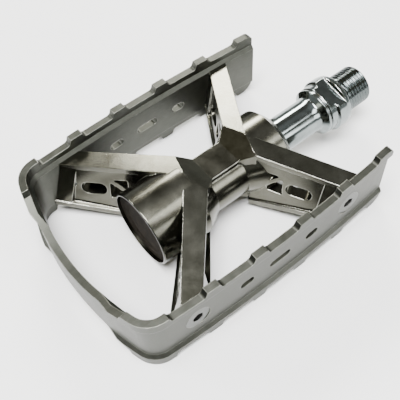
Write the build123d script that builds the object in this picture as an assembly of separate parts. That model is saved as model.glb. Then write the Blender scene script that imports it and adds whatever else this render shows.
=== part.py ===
"""Double-sided cage pedal. +Y runs along the spindle to the crank, +Z is up, +X is one side plate.

The origin is on the spindle's axis at the start of its thread. All sizes are in millimetres.
"""

from build123d import *
import os
from math import cos, pi, sin, sqrt

# Cage: one strip bent into a U, joggled inwards along its middle band
CAGE_END_Y = -11.7
STRIP_FACE_Y = -115.7
STRIP_T = 2.5
JOGGLE = 1.2
BAND_HALF = 8.4
LEDGE_RISE = 1.2
TOOTH_TOP = 13.8
DIP_TOP = 11.7
PLATE_X_END = 35.3
PLATE_X_MID = 37.5
PLATE_MID_Y = -61.7
CORNER_X = 35.8
CORNER_Y = -108.95
CORNER_R = 8.7
TAB_END_Y = -101.7
TAB_END_X = 26.8
TOOTH_PITCH = 17.5
FIRST_TOOTH_Y = -34.1
TOOTH_COUNT = 4
TOOTH_LEN = 4.5
FLANK_RUN = 0.8
END_TAB_LEN = 6.8
ROOT_R = 1.3
STRIP_MID_HALF = 7.0
STRIP_SIDE_HALF = 11.5
END_TOP_R = 2.6
END_BOTTOM_R = 5.5
SLOT_H = 3.2
SLOT_SHORT = 5.3
SLOT_LONG = 8.6
SLOT_YS = (-73.4, -60.2, -46.7)

# Body casting
MID_Y = -56.1
HOUSING_R = 13.4
HOUSING_IN_R = 13.2
BARREL_R = 9.6
BARREL_OUT_Y = -87.7
BARREL_IN_Y = -33.0
HOUSING_LIP = 1.2
CREST_DROP = 0.08
FLAT_HALF_X = 5.2
FLAT_HALF_Y = 5.5
FLAT_TOP = 9.9
CROTCH_DY = 12.6
SHOULDER_X = 8.6
SHOULDER_DY = 10.0
FLANGE_T = 2.2
FOOT_X = 36.0
FOOT_TOP = 8.3
HUB_FLARE = 3.0
OUT_FLARE = 6.6
IN_FLARE = 3.0
CRANK_FLARE = 2.3
OUT_FOOT_Y = (-98.5, -90.2)
IN_FOOT_Y = (-30.4, -23)
WEB_TOP_SHARE = (0.22, 0.62)
WEB_LOW_SHARE = (0.0, 0.5)
WINDOWS_TO_END = (38.2, 28.0)
PAD_X = 28.4
PAD_Z = 8.0
PAD_SHARES = (-0.05, 0.96)

# Screws, M5 countersunk
SCREW_YS = (-92, -29.8)
SCREW_R = 2.5
HEAD_R = 4.4
HEAD_RIM = 0.3
SCREW_LEN = 7.4
KEY_AF = 3.5
KEY_DEPTH = 1.6

# Spindle, 9/16 in x 20 thread
THREAD_R = 7.14
THREAD_LEN = 10.5
TIP_R = 6.1
TIP_CHAMFER = 1.0
UNDERCUT_R = 5.8
UNDERCUT_RUN = 0.7
SHOULDER_Y = -1.5
SHOULDER_R = 8.8
COLLAR_R = 9.7
COLLAR_BEVEL = (9.4, -2.0)
COLLAR_Y = (-3.7, -7.2)
RING_R = 8.8
RING_Y = (-7.7, -10.2)
NECK_R = 8.2
NECK_Y = (-10.5, -10.8)
RIM_R = 8.7
RIM_Y = (-11.1, -11.7)
SHANK_R = 6.5
SHANK_TOP_Y = -13.4
FLAT_AF = 15.2
FLAT_ANGLE = 11.5
FLAT_RUNOUT_R = 1.2
JOURNAL_R = 5.2
END_R = 4.0
AXLE_END_Y = -85

# Bearings: 5/32 in balls
BALL_R = 1.984
RACE_GAP = 0.046
IN_BALL_Y = -37.2
IN_BALL_PITCH_R = 8.7
IN_BALLS = 12
OUT_BALL_Y = -77.7
OUT_BALL_PITCH_R = 7.0
OUT_BALLS = 10
IN_RACE_R = 7.9
IN_RACE_TOP_Y = -34.6
IN_CUP_R = 11.2
IN_CUP_Y = (-41.4, -34.8)
IN_CUP_LIP_R = 9.4
OUT_CUP_R = 10.5
OUT_CUP_Y = (-80.2, -73.6)
OUT_CUP_LIP_R = 7.7
MID_BORE_R = 7.6
CONE_Y = (-80.8, -76.2)
CONE_R = 6.3
WASHER_T = 0.9
WASHER_R = 6.4
NUT_T = 2.8
NUT_AF = 12.0

# Covers
CAP_SEAT_R = 12.7
CAP_SEAT_Y = -85.4
CAP_RECESS = 1.2
CAP_DISH = 0.4
COVER_BORE_R = 6.85
COVER_NOSE_Y = -30.4
COVER_PLUG = 1.6

REACH = 200.0


def prism(points, low, high):
    """Plan outline raised from low to high."""
    face = Plane.XY.offset(low) * Polygon(*points, align=None)
    return extrude(face, high - low, dir=(0, 0, 1))


def side_prism(points, half):
    """Outline in Y and Z, stretched to both sides of the spindle."""
    face = Plane.YZ.offset(-half) * Polygon(*points, align=None)
    return extrude(face, 2 * half, dir=(1, 0, 0))


def front_prism(face, low, high):
    """Face drawn in X and Z, stretched along the spindle."""
    placed = Plane(origin=(0, low, 0), x_dir=(1, 0, 0), z_dir=(0, -1, 0)) * face
    return extrude(placed, high - low, dir=(0, 1, 0))


def below(a, b, c):
    """Half space under the plane through three points."""
    p, q, r = Vector(*a), Vector(*b), Vector(*c)
    normal = (q - p).cross(r - p)
    if normal.Z < 0:
        normal = normal * -1
    plane = Plane(origin=p, x_dir=q - p, z_dir=normal)
    return plane * Pos(0, 0, -REACH / 2) * Box(REACH, REACH, REACH)


def ring(profile):
    """Solid of revolution about the spindle's axis from (radius, y) points."""
    return revolve(Polygon(*profile, align=None), Axis.Y)


def both_faces(solid):
    """Solid with its copy on the pedal's other face."""
    return solid + mirror(solid, about=Plane.XY)


def both_sides(solid):
    """Solid with its copy on the other side plate's side."""
    return solid + mirror(solid, about=Plane.YZ)


def plate_arc():
    """Outer line of the +X side plate, bowed outwards."""
    end = (PLATE_X_END, CAGE_END_Y)
    return ThreePointArc(end, (PLATE_X_MID, PLATE_MID_Y), (CORNER_X, CORNER_Y))


def plate_x(y):
    """X of the side plate's outer face at a given Y."""
    arc = plate_arc()
    centre = arc.arc_center
    return centre.X + sqrt(arc.radius ** 2 - (y - centre.Y) ** 2)


def cage_path():
    """Outer line of the bent strip, seen from above."""
    corner = (CORNER_X, CORNER_Y)
    far_corner = (-CORNER_X, CORNER_Y)
    far_mid = (-PLATE_X_MID, PLATE_MID_Y)
    with BuildLine() as line:
        ThreePointArc((PLATE_X_END, CAGE_END_Y), (PLATE_X_MID, PLATE_MID_Y), corner)
        ThreePointArc(corner, (0, STRIP_FACE_Y), far_corner)
        ThreePointArc(far_corner, far_mid, (-PLATE_X_END, CAGE_END_Y))
        bends = [v for v in line.vertices() if abs(v.Y - CORNER_Y) < 0.1]
        fillet(bends, CORNER_R)
    return line.wire()


def strip_section(path):
    """Joggled cross-section of the strip, at the open end of the U."""
    inner = -STRIP_T
    ledge = BAND_HALF + LEDGE_RISE
    upper = [
        (0, TOOTH_TOP),
        (0, ledge + 0.4),
        (-JOGGLE, BAND_HALF + 0.4),
        (inner - JOGGLE, BAND_HALF),
        (inner, ledge),
        (inner, TOOTH_TOP),
    ]
    outer_line = upper[:3] + [(u, -z) for u, z in reversed(upper[:3])]
    inner_line = [(u, -z) for u, z in reversed(upper[3:])] + upper[3:]
    start = path @ 0
    plane = Plane(origin=start, x_dir=(1, 0, 0), z_dir=(0, 1, 0))
    points = [(u, -z) for u, z in outer_line + inner_line]
    return plane * Polygon(*points, align=None)


def dip(start, end):
    """Cutter for one dip between two raised places on the strip's edge."""
    high = TOOTH_TOP + 5
    points = [
        (start, high),
        (start, TOOTH_TOP),
        (start + FLANK_RUN, DIP_TOP),
        (end - FLANK_RUN, DIP_TOP),
        (end, TOOTH_TOP),
        (end, high),
    ]
    face = Polygon(*points, align=None)
    roots = [v for v in face.vertices() if abs(v.Y - DIP_TOP) < 0.01]
    face = fillet(roots, ROOT_R)
    placed = Plane.YZ.offset(-REACH / 2) * face
    return extrude(placed, REACH, dir=(1, 0, 0))


def tooth_spans():
    """Raised places along a side plate, from the corner tab to the end tab."""
    spans = [(TAB_END_Y - TOOTH_LEN, TAB_END_Y)]
    for index in reversed(range(TOOTH_COUNT)):
        centre = FIRST_TOOTH_Y - index * TOOTH_PITCH
        spans.append((centre - TOOTH_LEN / 2, centre + TOOTH_LEN / 2))
    spans.append((CAGE_END_Y - END_TAB_LEN, CAGE_END_Y))
    return spans


def dip_cutters():
    spans = tooth_spans()
    cutters = []
    for before, after in zip(spans, spans[1:]):
        cutters.append(both_faces(dip(before[1], after[0])))
    return cutters


def strip_cutter():
    """Cutter that narrows the outboard strip towards its middle."""
    side = (TAB_END_X - FLANK_RUN, STRIP_SIDE_HALF)
    high = TOOTH_TOP + 5
    edge = ThreePointArc((-side[0], side[1]), (0, STRIP_MID_HALF), side)
    rest = Polyline(
        side,
        (TAB_END_X, TOOTH_TOP),
        (TAB_END_X, high),
        (-TAB_END_X, high),
        (-TAB_END_X, TOOTH_TOP),
        (-side[0], side[1]),
    )
    face = make_face(Curve() + [edge, rest])
    cutter = front_prism(face, STRIP_FACE_Y - 5, STRIP_FACE_Y + 12)
    return both_faces(cutter)


def end_cutter(radius, sign):
    """Cutter that rounds one corner of the side plates' open ends."""
    low = sign * (TOOTH_TOP - radius)
    high = sign * (TOOTH_TOP + 1)
    block = side_prism(
        [
            (CAGE_END_Y - radius, low),
            (CAGE_END_Y + 1, low),
            (CAGE_END_Y + 1, high),
            (CAGE_END_Y - radius, high),
        ],
        REACH / 2,
    )
    round_bar = Pos(0, CAGE_END_Y - radius, low) * Rot(0, 90, 0) * Cylinder(radius, REACH)
    return block - round_bar


def slot_cutters():
    """Through slots in the middle band of both side plates."""
    lengths = (SLOT_SHORT, SLOT_LONG, SLOT_SHORT)
    cutters = []
    for y, length in zip(SLOT_YS, lengths):
        face = Plane.YZ.offset(-REACH / 2) * Pos(y, 0) * SlotOverall(length, SLOT_H)
        cutters.append(extrude(face, REACH, dir=(1, 0, 0)))
    return cutters


def screw_face_x(y):
    """X of a screw head's flat face."""
    return plate_x(y) - JOGGLE - 0.1


def screw_blank(y):
    """Screw on the +X side, without its key socket."""
    face = screw_face_x(y)
    profile = [
        (0, 0),
        (HEAD_R, 0),
        (HEAD_R, -HEAD_RIM),
        (SCREW_R, -HEAD_RIM - HEAD_R + SCREW_R),
        (SCREW_R, -SCREW_LEN + 0.6),
        (SCREW_R - 0.6, -SCREW_LEN),
        (0, -SCREW_LEN),
    ]
    blank = revolve(Polygon(*profile, align=None), Axis.Y)
    return Pos(face, y, 0) * Rot(0, 0, -90) * blank


def screw(y):
    """Countersunk screw with a hexagonal key socket."""
    key = extrude(RegularPolygon(KEY_AF / 2, 6, major_radius=False), KEY_DEPTH + 1)
    key = Pos(screw_face_x(y) - KEY_DEPTH, y, 0) * Rot(0, 90, 0) * key
    return screw_blank(y) - key


def head_cutter(y):
    """Countersunk seat that stays open outwards."""
    mouth = Pos(screw_face_x(y) + 2, y, 0) * Rot(0, 90, 0) * Cylinder(HEAD_R, 4)
    return screw_blank(y) + mouth


def cage():
    path = cage_path()
    solid = sweep(strip_section(path).face(), path=path)
    cutters = dip_cutters() + slot_cutters() + [strip_cutter()]
    cutters += [end_cutter(END_TOP_R, 1), end_cutter(END_BOTTOM_R, -1)]
    cutters += [both_sides(head_cutter(y)) for y in SCREW_YS]
    for cutter in cutters:
        solid = solid - cutter
    return solid


def between_plates():
    """Block bounded by the inner faces of the side plates' middle bands."""
    arc = plate_arc()
    centre = arc.arc_center
    radius = arc.radius - STRIP_T - JOGGLE
    height = 2 * REACH
    disc = Pos(centre.X, centre.Y, 0) * Cylinder(radius, height)
    other = Pos(-centre.X, centre.Y, 0) * Cylinder(radius, height)
    return disc & other


def lerp(a, b, share):
    return (a[0] + (b[0] - a[0]) * share, a[1] + (b[1] - a[1]) * share)


class Arm:
    """One diagonal arm on the +X side; toward is +1 for the crank side, -1 for the other."""

    def __init__(self, toward, foot, flare):
        self.toward = toward
        self.flare = flare
        self.crotch = (0, MID_Y + toward * CROTCH_DY)
        self.shoulder = (SHOULDER_X, MID_Y + toward * SHOULDER_DY)
        self.foot_far = (FOOT_X, foot[0])
        self.foot_near = (FOOT_X, foot[1])
        if toward < 0:
            self.outer = (self.crotch, self.foot_far)
            self.inner = (self.shoulder, self.foot_near)
        else:
            self.outer = (self.shoulder, self.foot_far)
            self.inner = (self.crotch, self.foot_near)

    def top_plane(self, drop):
        slope = (HOUSING_R - CREST_DROP - FLAT_TOP) / (CROTCH_DY - FLAT_HALF_Y)
        shoulder_top = FLAT_TOP + slope * (SHOULDER_DY - FLAT_HALF_Y)
        foot_y = (self.foot_far[1] + self.foot_near[1]) / 2
        return below(
            (self.crotch[0], self.crotch[1], HOUSING_R - CREST_DROP - drop),
            (self.shoulder[0], self.shoulder[1], shoulder_top - drop),
            (FOOT_X, foot_y, FOOT_TOP - drop),
        )

    def envelope(self, drop):
        top = self.top_plane(drop)
        return top & mirror(top, about=Plane.XY)

    def outline(self, share):
        """Plan from the top flange, share 0, to the wider bottom flange, share 1."""
        (start_x, start_y), (end_x, end_y) = self.outer
        points = [(start_x, start_y - share * HUB_FLARE), (end_x, end_y - share * self.flare)]
        points += [(self.inner[1][0], self.inner[1][1] + share * CRANK_FLARE), self.inner[0]]
        if share == 1 and self.toward < 0:
            points.append(self.crotch)
        return points

    def flange(self, sign):
        outline = prism(self.outline(1 if sign < 0 else 0), 0, REACH / 4)
        plate = (outline & self.top_plane(0)) - self.top_plane(FLANGE_T)
        return plate if sign > 0 else mirror(plate, about=Plane.XY)

    def web_face(self, share, span, z):
        a, b, c, d = self.outline(share)[:4]
        low, high = span
        points = [lerp(a, d, low), lerp(b, c, low), lerp(b, c, high), lerp(a, d, high)]
        return Plane.XY.offset(z) * Polygon(*points, align=None)

    def web(self):
        height = HOUSING_R + 1
        low = self.web_face(1, WEB_LOW_SHARE, -height)
        high = self.web_face(0, WEB_TOP_SHARE, height)
        return loft(Sketch() + [low, high], ruled=True) & self.envelope(0)

    def web_plane(self):
        """Plane on the web's middle, local X outwards along the arm and local Y up."""
        a, b, c, d = self.outline(0.5)[:4]
        start, end = lerp(a, d, 0.5), lerp(b, c, 0.5)
        along = Vector(end[0] - start[0], end[1] - start[1])
        return Plane(origin=start, x_dir=along, z_dir=(along.Y, -along.X, 0))

    def windows(self, reach):
        """Oval window by the foot and a triangle with a diagonal rib by the barrel."""
        plane = self.web_plane()
        oval = Pos(reach - 9.5, -0.3) * Rot(0, 0, -4) * SlotOverall(9.0, 5.0)
        upper = Polygon((reach - 21.5, 5.0), (reach - 16.0, 4.6), (reach - 21.5, 0.4), align=None)
        lower = Polygon(
            (reach - 15.3, 3.4), (reach - 15.0, -3.6), (reach - 20.3, -3.0), (reach - 20.6, -1.0), align=None
        )
        faces = Sketch() + [oval, fillet(upper.vertices(), 0.5), fillet(lower.vertices(), 0.5)]
        return extrude(plane * faces, 5.0, both=True)

    def pad(self):
        """Solid foot between the flanges, which the cage is screwed to."""
        faces = Sketch()
        for share, z in zip(PAD_SHARES, (PAD_Z, -PAD_Z)):
            a, b, c, d = self.outline(share)[:4]
            near = lerp(a, b, (PAD_X - a[0]) / (b[0] - a[0]))
            far = lerp(d, c, (PAD_X - d[0]) / (c[0] - d[0]))
            faces += Plane.XY.offset(z) * Polygon(near, b, c, far, align=None)
        return loft(faces, ruled=True)

    def solid(self, reach):
        web = self.web() - self.windows(reach)
        return self.flange(1) + self.flange(-1) + web + self.pad()


def hub():
    """Flat-sided bridge between the two pairs of arms, sloped up to both housings."""
    profile = [
        (MID_Y - CROTCH_DY, HOUSING_R - CREST_DROP),
        (MID_Y - FLAT_HALF_Y, FLAT_TOP),
        (MID_Y + FLAT_HALF_Y, FLAT_TOP),
        (MID_Y + CROTCH_DY, HOUSING_R - CREST_DROP),
    ]
    profile += [(y, -z) for y, z in reversed(profile)]
    plan = [
        (0, MID_Y - CROTCH_DY),
        (SHOULDER_X, MID_Y - SHOULDER_DY),
        (FLAT_HALF_X, MID_Y - FLAT_HALF_Y),
        (FLAT_HALF_X, MID_Y + FLAT_HALF_Y),
        (SHOULDER_X, MID_Y + SHOULDER_DY),
        (0, MID_Y + CROTCH_DY),
    ]
    plan += [(-x, y) for x, y in reversed(plan[1:-1])]
    return side_prism(profile, REACH / 4) & prism(plan, -REACH / 4, REACH / 4)


def barrel():
    """Round barrel with a large bearing housing at each end."""
    profile = [
        (0, BARREL_OUT_Y),
        (HOUSING_R - 0.3, BARREL_OUT_Y),
        (HOUSING_R, BARREL_OUT_Y + 0.3),
        (HOUSING_R, MID_Y - CROTCH_DY),
        (BARREL_R, MID_Y - FLAT_HALF_Y - 1),
        (BARREL_R, MID_Y + FLAT_HALF_Y + 1),
        (HOUSING_IN_R, MID_Y + CROTCH_DY),
        (HOUSING_IN_R, BARREL_IN_Y - HOUSING_LIP),
        (HOUSING_IN_R - HOUSING_LIP, BARREL_IN_Y),
        (0, BARREL_IN_Y),
    ]
    return ring(profile)


def bores():
    """Stepped bore for the bearings and covers."""
    profile = [
        (0, BARREL_OUT_Y - 1),
        (CAP_SEAT_R, BARREL_OUT_Y - 1),
        (CAP_SEAT_R, CAP_SEAT_Y),
        (OUT_CUP_R, CAP_SEAT_Y),
        (OUT_CUP_R, OUT_CUP_Y[1]),
        (MID_BORE_R, OUT_CUP_Y[1]),
        (MID_BORE_R, IN_CUP_Y[0]),
        (IN_CUP_R, IN_CUP_Y[0]),
        (IN_CUP_R, BARREL_IN_Y + 1),
        (0, BARREL_IN_Y + 1),
    ]
    return ring(profile)


def body_casting():
    outboard = Arm(-1, OUT_FOOT_Y, OUT_FLARE)
    inboard = Arm(1, IN_FOOT_Y, IN_FLARE)
    side = outboard.solid(WINDOWS_TO_END[0]) + inboard.solid(WINDOWS_TO_END[1])
    solid = (both_sides(side) & between_plates()) + hub() + barrel()
    solid = solid - bores()
    for y in SCREW_YS:
        solid = solid - both_sides(screw_blank(y))
    return solid


def race_groove(y, pitch_r):
    """Ring-shaped groove that a row of balls runs in."""
    return Pos(0, y, 0) * Rot(90, 0, 0) * Torus(pitch_r, BALL_R + RACE_GAP)


def flat_cutter(side):
    """Cutter for one wrench flat, with a round run-out at its shank end."""
    start, end = RING_Y[1], COLLAR_Y[0]
    length = end - start
    cut = Pos(0, start + length / 2, side * (FLAT_AF / 2 + 5)) * Box(30, length, 10)
    bottom = [e for e in cut.edges().filter_by(Axis.X) if abs(e.center().Z * side - FLAT_AF / 2) < 0.01]
    return fillet([e for e in bottom if e.center().Y < start + 0.01], FLAT_RUNOUT_R)


def spindle():
    groove_r = IN_BALL_PITCH_R - BALL_R - RACE_GAP
    profile = [
        (0, THREAD_LEN),
        (TIP_R, THREAD_LEN),
        (THREAD_R, THREAD_LEN - TIP_CHAMFER),
        (THREAD_R, 0),
        (UNDERCUT_R, -UNDERCUT_RUN),
        (UNDERCUT_R, SHOULDER_Y),
        (SHOULDER_R, SHOULDER_Y),
        COLLAR_BEVEL,
        (COLLAR_R, COLLAR_Y[0]),
        (COLLAR_R, COLLAR_Y[1]),
        (RING_R, RING_Y[0]),
        (RING_R, RING_Y[1]),
        (NECK_R, NECK_Y[0]),
        (NECK_R, NECK_Y[1]),
        (RIM_R, RIM_Y[0]),
        (RIM_R, RIM_Y[1]),
        (SHANK_R + 0.4, SHANK_TOP_Y + 0.4),
        (SHANK_R, SHANK_TOP_Y),
        (SHANK_R, IN_RACE_TOP_Y + 0.6),
        (IN_RACE_R, IN_RACE_TOP_Y),
        (IN_RACE_R, IN_BALL_Y),
        (groove_r, IN_BALL_Y),
        (groove_r, IN_BALL_Y - 2.4),
        (JOURNAL_R, IN_BALL_Y - 6.0),
        (JOURNAL_R, CONE_Y[1] + 6.0),
        (END_R, CONE_Y[1] + 4.0),
        (END_R, AXLE_END_Y + 0.5),
        (END_R - 0.5, AXLE_END_Y),
        (0, AXLE_END_Y),
    ]
    solid = ring(profile) - race_groove(IN_BALL_Y, IN_BALL_PITCH_R)
    for side in (-1, 1):
        solid = solid - Rot(0, FLAT_ANGLE, 0) * flat_cutter(side)
    return solid


def outboard_cone():
    low_r = OUT_BALL_PITCH_R - BALL_R - RACE_GAP
    profile = [
        (END_R, CONE_Y[0]),
        (CONE_R, CONE_Y[0]),
        (CONE_R, OUT_BALL_Y),
        (low_r, OUT_BALL_Y),
        (low_r, CONE_Y[1]),
        (END_R, CONE_Y[1]),
    ]
    return ring(profile) - race_groove(OUT_BALL_Y, OUT_BALL_PITCH_R)


def inboard_cup():
    open_r = IN_BALL_PITCH_R + BALL_R + RACE_GAP
    profile = [
        (IN_CUP_LIP_R, IN_CUP_Y[0]),
        (IN_CUP_R, IN_CUP_Y[0]),
        (IN_CUP_R, IN_CUP_Y[1]),
        (open_r, IN_CUP_Y[1]),
        (open_r, IN_BALL_Y),
        (IN_CUP_LIP_R, IN_BALL_Y),
    ]
    return ring(profile) - race_groove(IN_BALL_Y, IN_BALL_PITCH_R)


def outboard_cup():
    open_r = OUT_BALL_PITCH_R + BALL_R + RACE_GAP
    profile = [
        (OUT_CUP_LIP_R, OUT_BALL_Y),
        (open_r, OUT_BALL_Y),
        (open_r, OUT_CUP_Y[0]),
        (OUT_CUP_R, OUT_CUP_Y[0]),
        (OUT_CUP_R, OUT_CUP_Y[1]),
        (OUT_CUP_LIP_R, OUT_CUP_Y[1]),
    ]
    return ring(profile) - race_groove(OUT_BALL_Y, OUT_BALL_PITCH_R)


def tab_washer():
    start = CONE_Y[0] - WASHER_T
    profile = [(END_R, start), (WASHER_R, start), (WASHER_R, CONE_Y[0]), (END_R, CONE_Y[0])]
    return ring(profile)


def lock_nut():
    end = CONE_Y[0] - WASHER_T
    face = RegularPolygon(NUT_AF / 2, 6, major_radius=False) - Circle(END_R)
    placed = Plane(origin=(0, end - NUT_T, 0), x_dir=(1, 0, 0), z_dir=(0, 1, 0)) * face
    return extrude(placed, NUT_T)


def dust_cap():
    face = BARREL_OUT_Y + CAP_RECESS
    profile = [
        (0, face + CAP_DISH),
        (8.4, face + CAP_DISH),
        (9.6, face),
        (CAP_SEAT_R, face),
        (CAP_SEAT_R, CAP_SEAT_Y),
        (0, CAP_SEAT_Y),
    ]
    return ring(profile)


def dust_cover():
    profile = [
        (COVER_BORE_R, COVER_NOSE_Y),
        (7.5, COVER_NOSE_Y),
        (8.8, COVER_NOSE_Y - 0.4),
        (10.3, COVER_NOSE_Y - 1.2),
        (11.4, COVER_NOSE_Y - 2.1),
        (11.8, BARREL_IN_Y),
        (IN_CUP_R, BARREL_IN_Y),
        (IN_CUP_R, BARREL_IN_Y - COVER_PLUG),
        (COVER_BORE_R + 2.2, BARREL_IN_Y - COVER_PLUG),
        (COVER_BORE_R, BARREL_IN_Y - COVER_PLUG + 1.2),
    ]
    return ring(profile)


def balls(row, count, y, pitch_r):
    """Evenly spaced balls of one row, each with its own name."""
    found = {}
    for index in range(count):
        turn = 2 * pi * index / count
        place = Pos(pitch_r * sin(turn), y, pitch_r * cos(turn))
        found[f"{row}_ball_{index + 1:02d}"] = place * Sphere(BALL_R)
    return found


def screws():
    found = {}
    for place, y in zip(("outboard", "inboard"), SCREW_YS):
        front = screw(y)
        found[f"cage_screw_front_{place}"] = front
        found[f"cage_screw_back_{place}"] = mirror(front, about=Plane.YZ)
    return found


def parts():
    found = {
        "spindle": spindle(),
        "outboard_cone": outboard_cone(),
        "tab_washer": tab_washer(),
        "lock_nut": lock_nut(),
        "body_casting": body_casting(),
        "cage": cage(),
        "inboard_cup": inboard_cup(),
        "outboard_cup": outboard_cup(),
        "dust_cap": dust_cap(),
        "dust_cover": dust_cover(),
    }
    found.update(screws())
    found.update(balls("inboard", IN_BALLS, IN_BALL_Y, IN_BALL_PITCH_R))
    found.update(balls("outboard", OUT_BALLS, OUT_BALL_Y, OUT_BALL_PITCH_R))
    return found


os.makedirs("parts", exist_ok=True)
for name, shape in parts().items():
    export_step(shape, f"parts/{name}.step")
    print(name, len(shape.solids()), round(shape.volume, 1), shape.is_valid)
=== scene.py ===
"""Double-sided cage pedal in a plain pale studio. Metres; +Y along the spindle, +Z up."""

from math import cos, pi, radians, sin

import bmesh
import bpy
from mathutils import Matrix, Vector

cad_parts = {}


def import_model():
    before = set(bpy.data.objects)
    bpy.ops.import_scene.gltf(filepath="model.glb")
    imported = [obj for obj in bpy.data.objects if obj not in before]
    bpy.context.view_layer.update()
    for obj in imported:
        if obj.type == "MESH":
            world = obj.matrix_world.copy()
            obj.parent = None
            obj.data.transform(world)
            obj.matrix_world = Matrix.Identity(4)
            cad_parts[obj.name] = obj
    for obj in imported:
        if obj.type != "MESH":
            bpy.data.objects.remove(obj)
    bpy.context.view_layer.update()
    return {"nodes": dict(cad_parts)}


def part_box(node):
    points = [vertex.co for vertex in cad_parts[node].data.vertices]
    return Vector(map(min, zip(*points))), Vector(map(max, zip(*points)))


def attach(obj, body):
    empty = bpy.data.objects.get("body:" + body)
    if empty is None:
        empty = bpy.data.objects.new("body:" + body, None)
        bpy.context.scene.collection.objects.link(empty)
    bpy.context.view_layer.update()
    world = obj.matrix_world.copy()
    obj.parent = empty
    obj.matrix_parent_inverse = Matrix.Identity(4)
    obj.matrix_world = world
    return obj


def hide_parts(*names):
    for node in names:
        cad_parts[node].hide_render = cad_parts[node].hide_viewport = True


MM = 0.001

# Spindle surface that replaces the plain CAD one, in millimetres
THREAD_PITCH = 1.27
THREAD_DEPTH = 0.34
THREAD_START_Y = 0.2
THREAD_STOP_Y = 9.6
THREAD_FADE_IN = 0.5
THREAD_FADE_OUT = 0.3
CREST_SHARE = 0.12
GROOVE_SHARE = 0.76
FLAT_HALF = 7.6
FLAT_ANGLE = 11.5
FLAT_Y = (-10.2, -3.7)
FLAT_RUNOUT = 1.2
SPINDLE_STEPS = 192
FINE_FROM_Y = -13.7
FINE_STEP = 0.11
COARSE_STEP = 2.5
SHARP_ANGLE = 28

# Places where a metal changes tone, in millimetres
THREAD_TONE_Y = -1.2
RIM_TONE_Y = -87.45
RIM_TONE_X = 13.6

# Edges and studio, in metres
CAGE_EDGE = 0.00022
CASTING_EDGE = 0.0003
# Radius of the edge mask that carries the metals' painted edge highlight
EDGE_HIGHLIGHT_RADIUS = 0.0005
SOFT_EDGE = 0.00035
FLOOR_SIZE = 12.0
FLOOR_GAP = 0.0002
PEDAL_MIDDLE = (0, -0.055, 0)

# Camera
CAMERA_AZIMUTH = 55.48
CAMERA_ELEVATION = 56.15
CAMERA_ROLL = -4.76
CAMERA_DISTANCE = 218.25
CAMERA_TARGET = (3.40, -65.79, 0.0)
CAMERA_LENS = 59.757
SENSOR = 36.0


class Nodes:
    """Short way to build a node tree."""

    def __init__(self, tree):
        self.tree = tree
        self.tree.nodes.clear()

    def add(self, kind, **values):
        node = self.tree.nodes.new(kind)
        for key, value in values.items():
            setattr(node, key, value)
        return node

    def link(self, source, target):
        self.tree.links.new(source, target)

    def value(self, socket, value):
        if hasattr(value, "is_output"):
            self.link(value, socket)
        else:
            socket.default_value = value

    def math(self, operation, a, b=0.0, clamp=False):
        node = self.add("ShaderNodeMath", operation=operation, use_clamp=clamp)
        self.value(node.inputs[0], a)
        self.value(node.inputs[1], b)
        return node.outputs[0]

    def noise(self, vector, scale, detail=4.0, rough=0.55):
        node = self.add("ShaderNodeTexNoise")
        node.inputs["Scale"].default_value = scale
        node.inputs["Detail"].default_value = detail
        node.inputs["Roughness"].default_value = rough
        self.link(vector, node.inputs["Vector"])
        return node.outputs["Fac"]

    def stretched(self, vector, scale):
        node = self.add("ShaderNodeMapping")
        node.inputs["Scale"].default_value = scale
        self.link(vector, node.inputs["Vector"])
        return node.outputs["Vector"]

    def ramp(self, fac, stops):
        node = self.add("ShaderNodeValToRGB")
        elements = node.color_ramp.elements
        while len(elements) < len(stops):
            elements.new(0.5)
        for element, (place, colour) in zip(elements, stops):
            element.position = place
            element.color = (*colour, 1.0) if hasattr(colour, "__len__") else (colour, colour, colour, 1.0)
        self.link(fac, node.inputs["Fac"])
        return node.outputs["Color"]

    def mix(self, fac, a, b, mode="MIX"):
        node = self.add("ShaderNodeMix", data_type="RGBA", blend_type=mode)
        self.value(node.inputs[0], fac)
        for socket, value in ((node.inputs[6], a), (node.inputs[7], b)):
            self.value(socket, (*value, 1.0) if isinstance(value, tuple) else value)
        return node.outputs[2]

    def bump(self, height, strength, distance, normal=None):
        node = self.add("ShaderNodeBump")
        node.inputs["Strength"].default_value = strength
        node.inputs["Distance"].default_value = distance
        self.link(height, node.inputs["Height"])
        if normal is not None:
            self.link(normal, node.inputs["Normal"])
        return node.outputs["Normal"]

    def edge(self, radius, low, high):
        """1 along the edges of the shape, 0 on its faces; low and high are how far the normals differ."""
        bevel = self.add("ShaderNodeBevel", samples=6)
        bevel.inputs["Radius"].default_value = radius
        plain = self.add("ShaderNodeNewGeometry")
        dot = self.add("ShaderNodeVectorMath", operation="DOT_PRODUCT")
        self.link(bevel.outputs["Normal"], dot.inputs[0])
        self.link(plain.outputs["Normal"], dot.inputs[1])
        return self.ramp(self.math("SUBTRACT", 1.0, dot.outputs["Value"]), [(low, 0.0), (high, 1.0)])


def material(name):
    """New material with its nodes, its shader and the object's own coordinates."""
    made = bpy.data.materials.new(name)
    made.use_nodes = True
    nodes = Nodes(made.node_tree)
    out = nodes.add("ShaderNodeOutputMaterial")
    shader = nodes.add("ShaderNodeBsdfPrincipled")
    nodes.link(shader.outputs["BSDF"], out.inputs["Surface"])
    place = nodes.add("ShaderNodeTexCoord").outputs["Object"]
    return made, nodes, shader, place


def thread_zone(nodes, place):
    """The thread is darker than the chromed shank."""
    split = nodes.add("ShaderNodeSeparateXYZ")
    nodes.link(place, split.inputs[0])
    return nodes.math("GREATER_THAN", split.outputs["Y"], THREAD_TONE_Y * MM), (0.095, 0.11, 0.11)


def rim_zone(nodes, place):
    """The barrel's outboard rim and end get a darker tone of their own."""
    split = nodes.add("ShaderNodeSeparateXYZ")
    nodes.link(place, split.inputs[0])
    outboard = nodes.math("LESS_THAN", split.outputs["Y"], RIM_TONE_Y * MM)
    central = nodes.math("LESS_THAN", nodes.math("ABSOLUTE", split.outputs["X"]), RIM_TONE_X * MM)
    return nodes.math("MULTIPLY", outboard, central), (0.028, 0.026, 0.02)


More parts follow.
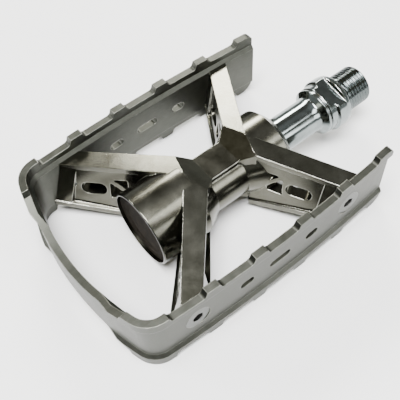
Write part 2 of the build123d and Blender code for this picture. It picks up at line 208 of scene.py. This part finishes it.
def metal(name, dark, light, rough, patch=260.0, streak=(1, 1, 1), edge_highlight_colour=None, bump=0.12, zone=None):
    """Metal with cloudy tone, fine grain, drawn streaks and a painted highlight of paler colour along its
    edges; zone has another tone.
    """
    made, nodes, shader, place = material(name)
    clouds = nodes.noise(place, patch, 5.0, 0.6)
    drawn = nodes.noise(nodes.stretched(place, streak), 2600.0, 3.0, 0.6)
    speck = nodes.noise(place, 5460.0, 2.0, 0.7)
    tone = nodes.math("ADD", nodes.math("MULTIPLY", clouds, 0.6), nodes.math("MULTIPLY", drawn, 0.4))
    colour = nodes.ramp(tone, [(0.32, dark), (0.68, light)])
    # Paler colour along the edges, varied by the clouds: a painted highlight
    highlight_edges = nodes.edge(EDGE_HIGHLIGHT_RADIUS, 0.02, 0.2)
    if edge_highlight_colour is not None:
        share = nodes.math("MULTIPLY", highlight_edges, nodes.ramp(clouds, [(0.3, 0.35), (0.6, 0.95)]))
        colour = nodes.mix(share, colour, edge_highlight_colour)
    if zone is not None:
        mask, tone = zone(nodes, place)
        colour = nodes.mix(mask, colour, tone)
    nodes.link(colour, shader.inputs["Base Color"])
    low, high = rough
    wear = nodes.math("ADD", nodes.math("MULTIPLY", clouds, 0.5), nodes.math("MULTIPLY", speck, 0.5))
    nodes.link(nodes.ramp(wear, [(0.3, low), (0.7, high)]), shader.inputs["Roughness"])
    shader.inputs["Metallic"].default_value = 1.0
    height = nodes.math("ADD", nodes.math("MULTIPLY", drawn, 0.7), nodes.math("MULTIPLY", speck, 0.3))
    soft = nodes.add("ShaderNodeBevel", samples=6)
    soft.inputs["Radius"].default_value = SOFT_EDGE
    nodes.link(nodes.bump(height, bump, 0.0001, soft.outputs["Normal"]), shader.inputs["Normal"])
    return made


def plastic(name, dark, light, rough):
    """Matt moulded plastic with a clouded tone and a fine grain."""
    made, nodes, shader, place = material(name)
    clouds = nodes.noise(place, 420.0, 5.0, 0.6)
    speck = nodes.noise(place, 5200.0, 2.0, 0.7)
    nodes.link(nodes.ramp(clouds, [(0.3, dark), (0.7, light)]), shader.inputs["Base Color"])
    nodes.link(nodes.ramp(speck, [(0.3, rough[0]), (0.7, rough[1])]), shader.inputs["Roughness"])
    nodes.link(nodes.bump(speck, 0.3, 0.0001), shader.inputs["Normal"])
    shader.inputs["Specular IOR Level"].default_value = 0.02
    return made


def dress(names, made):
    """Give CAD nodes their material."""
    for name in names:
        slots = frame["nodes"][name].data.materials
        slots.clear()
        slots.append(made)


def spindle_profile():
    """(y, radius) along the spindle, crank end first, with crowded rows where the shape turns."""
    return [
        (10.5, 0.0), (10.5, 4.2), (10.5, 5.7), (10.4, 6.0), (10.1, 6.5), (9.7, 6.95), (9.3, 7.1),
        (0.3, 7.14), (0.0, 7.0), (-0.7, 5.8), (-1.5, 5.8), (-1.5, 8.6), (-1.6, 8.95), (-2.0, 9.4),
        (-3.6, 9.68), (-3.7, 9.7), (-3.72, 9.7), (-7.1, 9.7), (-7.3, 9.55), (-7.65, 8.9), (-7.8, 8.8),
        (-10.1, 8.8), (-10.25, 8.7), (-10.5, 8.25), (-10.8, 8.25), (-11.0, 8.6), (-11.15, 8.7),
        (-11.6, 8.7), (-11.8, 8.6), (-12.9, 7.05), (-13.2, 6.65), (-13.6, 6.5), (-34.0, 6.5),
        (-34.6, 7.9), (-37.2, 7.9), (-37.2, 6.67), (-39.6, 6.67), (-43.2, 5.2), (-70.2, 5.2),
        (-72.2, 4.0), (-84.5, 4.0), (-85.0, 3.5), (-85.0, 0.0),
    ]


def spindle_rows():
    """The profile, divided finely where thread, flats and rings are."""
    rows = []
    corners = spindle_profile()
    for (y0, r0), (y1, r1) in zip(corners, corners[1:]):
        length = FINE_STEP if y1 >= FINE_FROM_Y else COARSE_STEP
        steps = int(max(1, abs(y1 - y0) / length))
        for step in range(steps):
            share = step / steps
            rows.append((y0 + (y1 - y0) * share, r0 + (r1 - r0) * share))
    rows.append(corners[-1])
    return rows


def spindle_radius(y, radius, turn):
    """Radius of the spindle at this height and turn, with its thread and wrench flats."""
    if THREAD_START_Y < y < THREAD_STOP_Y:
        phase = (y / THREAD_PITCH - turn / (2 * pi)) % 1.0
        groove = abs(2 * phase - 1)
        groove = min(1.0, max(0.0, (groove - CREST_SHARE) / GROOVE_SHARE))
        fade = min(1.0, (y - THREAD_START_Y) / THREAD_FADE_IN, (THREAD_STOP_Y - y) / THREAD_FADE_OUT)
        return radius - THREAD_DEPTH * groove * fade
    if FLAT_Y[0] <= y <= FLAT_Y[1]:
        away = abs(cos(turn - radians(FLAT_ANGLE)))
        into = min(FLAT_RUNOUT, y - FLAT_Y[0])
        rise = FLAT_RUNOUT - (FLAT_RUNOUT ** 2 - (FLAT_RUNOUT - into) ** 2) ** 0.5
        if away > 0.01:
            return min(radius, (FLAT_HALF + rise) / away)
    return radius


def build_spindle():
    """Spindle with its thread cut, which stands for the plain CAD one."""
    mesh = bmesh.new()
    rings = []
    for y, radius in spindle_rows():
        if radius == 0.0:
            rings.append([mesh.verts.new((0, y * MM, 0))])
            continue
        ring = []
        for step in range(SPINDLE_STEPS):
            turn = 2 * pi * step / SPINDLE_STEPS
            r = spindle_radius(y, radius, turn) * MM
            ring.append(mesh.verts.new((r * sin(turn), y * MM, r * cos(turn))))
        rings.append(ring)
    for above, under in zip(rings, rings[1:]):
        for step in range(SPINDLE_STEPS):
            nxt = (step + 1) % SPINDLE_STEPS
            corners = [above[step % len(above)], above[nxt % len(above)]]
            corners += [under[nxt % len(under)], under[step % len(under)]]
            mesh.faces.new(list(dict.fromkeys(corners)))
    bmesh.ops.recalc_face_normals(mesh, faces=mesh.faces)
    data = bpy.data.meshes.new("threaded_spindle")
    mesh.to_mesh(data)
    mesh.free()
    for polygon in data.polygons:
        polygon.use_smooth = True
    data.set_sharp_from_angle(angle=radians(SHARP_ANGLE))
    piece = bpy.data.objects.new("threaded_spindle", data)
    bpy.context.scene.collection.objects.link(piece)
    return piece


def soften(name, width):
    """Small rounded edges on a CAD node."""
    edge = frame["nodes"][name].modifiers.new("edge", "BEVEL")
    edge.width = width
    edge.segments = 2
    edge.limit_method = "ANGLE"
    edge.angle_limit = radians(32)
    edge.harden_normals = False


def floor():
    """Pale paper just under the cage."""
    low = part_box("cage")[0][2]
    made, nodes, shader, place = material("floor_paper")
    clouds = nodes.noise(place, 6.0, 3.0, 0.5)
    nodes.link(nodes.ramp(clouds, [(0.3, 0.86), (0.7, 0.9)]), shader.inputs["Base Color"])
    shader.inputs["Roughness"].default_value = 0.9
    shader.inputs["Specular IOR Level"].default_value = 0.1
    bpy.ops.mesh.primitive_plane_add(size=FLOOR_SIZE, location=(0, 0, low - FLOOR_GAP))
    plane = bpy.context.object
    plane.name = "floor"
    plane.data.materials.append(made)


def lamp(name, place, size, power, colour=(1, 1, 1)):
    """Softbox at place, turned to the middle of the pedal."""
    data = bpy.data.lights.new(name, "AREA")
    data.shape = "RECTANGLE"
    data.size, data.size_y = size
    data.energy = power
    data.color = colour
    light = bpy.data.objects.new(name, data)
    light.location = place
    light.rotation_euler = (Vector(PEDAL_MIDDLE) - Vector(place)).to_track_quat("-Z", "Y").to_euler()
    bpy.context.scene.collection.objects.link(light)


def world():
    """Pale horizon, darker sky above it, light zenith, and an olive cast high on the outboard side."""
    made = bpy.data.worlds.new("studio")
    bpy.context.scene.world = made
    made.use_nodes = True
    nodes = Nodes(made.node_tree)
    out = nodes.add("ShaderNodeOutputWorld")
    sky = nodes.add("ShaderNodeBackground")
    nodes.link(sky.outputs[0], out.inputs[0])
    split = nodes.add("ShaderNodeSeparateXYZ")
    nodes.link(nodes.add("ShaderNodeTexCoord").outputs["Generated"], split.inputs[0])
    height = split.outputs["Z"]
    bands = [
        (0.0, (0.75, 0.77, 0.75)),
        (0.2, (0.42, 0.44, 0.42)),
        (0.5, (0.36, 0.37, 0.33)),
        (0.66, (0.22, 0.22, 0.19)),
        (0.8, (0.12, 0.12, 0.10)),
        (1.0, (0.7, 0.72, 0.72)),
    ]
    dome = nodes.ramp(height, bands)
    side = nodes.math("MULTIPLY", nodes.math("SUBTRACT", 0.15, split.outputs["Y"]), 2.2, clamp=True)
    high = nodes.ramp(height, [(0.45, 0.0), (0.65, 1.0)])
    colour = nodes.mix(nodes.math("MULTIPLY", side, high), dome, (0.15, 0.13, 0.045))
    nodes.link(colour, sky.inputs["Color"])
    sky.inputs["Strength"].default_value = 1.0


def camera():
    """Camera from its angles, distance and target."""
    azimuth, elevation, roll = radians(CAMERA_AZIMUTH), radians(CAMERA_ELEVATION), radians(CAMERA_ROLL)
    target = Vector(CAMERA_TARGET) * MM
    away = Vector((sin(azimuth) * cos(elevation), -cos(azimuth) * cos(elevation), sin(elevation)))
    forward = -away
    right = forward.cross(Vector((0, 0, 1))).normalized()
    up = right.cross(forward)
    image_right = right * cos(roll) + up * sin(roll)
    image_up = up * cos(roll) - right * sin(roll)
    turn = Matrix((image_right, image_up, away)).transposed().to_4x4()
    data = bpy.data.cameras.new("camera")
    data.lens = CAMERA_LENS
    data.sensor_width = SENSOR
    data.clip_start = 0.01
    data.clip_end = 50.0
    made = bpy.data.objects.new("camera", data)
    made.matrix_world = Matrix.Translation(target + away * CAMERA_DISTANCE * MM) @ turn
    bpy.context.scene.collection.objects.link(made)
    bpy.context.scene.camera = made


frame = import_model()

# Each edge colour below is a painted highlight along that part's edges
cage_metal = metal(
    "cage_metal", (0.055, 0.057, 0.048), (0.082, 0.084, 0.073), (0.34, 0.48),
    streak=(1, 0.15, 1), edge_highlight_colour=(0.34, 0.34, 0.30),
)
cast_metal = metal(
    "cast_metal", (0.072, 0.070, 0.052), (0.135, 0.134, 0.112), (0.14, 0.26),
    patch=160.0, edge_highlight_colour=(0.62, 0.62, 0.56), bump=0.01, zone=rim_zone,
)
chrome = metal(
    "spindle_chrome", (0.17, 0.195, 0.195), (0.27, 0.30, 0.30), (0.07, 0.17),
    patch=300.0, edge_highlight_colour=(0.95, 0.95, 0.95), bump=0.03, zone=thread_zone,
)
steel = metal("bearing_steel", (0.45, 0.46, 0.48), (0.62, 0.63, 0.65), (0.15, 0.3))
screw_metal = metal(
    "screw_metal", (0.09, 0.093, 0.088), (0.14, 0.143, 0.136), (0.3, 0.45),
    edge_highlight_colour=(0.25, 0.25, 0.24),
)
cover_metal = metal(
    "cover_metal", (0.12, 0.12, 0.10), (0.2, 0.2, 0.175), (0.22, 0.4),
    edge_highlight_colour=(0.4, 0.4, 0.36),
)
cap_plastic = plastic("cap_plastic", (0.008, 0.0065, 0.005), (0.02, 0.016, 0.012), (0.6, 0.78))

bearing_nodes = ["outboard_cone", "tab_washer", "lock_nut", "inboard_cup", "outboard_cup"]
bearing_nodes += [name for name in frame["nodes"] if "_ball_" in name]
screw_nodes = [name for name in frame["nodes"] if name.startswith("cage_screw")]
dress(["cage"], cage_metal)
dress(["body_casting"], cast_metal)
dress(["spindle"], chrome)
dress(bearing_nodes, steel)
dress(screw_nodes, screw_metal)
dress(["dust_cover"], cover_metal)
dress(["dust_cap"], cap_plastic)
soften("cage", CAGE_EDGE)
soften("body_casting", CASTING_EDGE)

spindle = build_spindle()
spindle.data.materials.append(chrome)
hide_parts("spindle")
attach(spindle, "spindle")

floor()
world()
lamp("back", (-0.72, 0.38, 0.53), (0.34, 0.2), 10.0, (1.0, 0.98, 0.92))
lamp("side", (0.9, 0.35, 0.45), (0.35, 0.35), 3.0)
lamp("low", (-0.9, -0.7, 0.6), (0.3, 0.25), 7.0)
lamp("strip", (0.55, 0.36, 1.0), (0.3, 0.45), 4.5)
lamp("top", (0.15, -0.28, 1.2), (0.6, 0.6), 50.0)
camera()
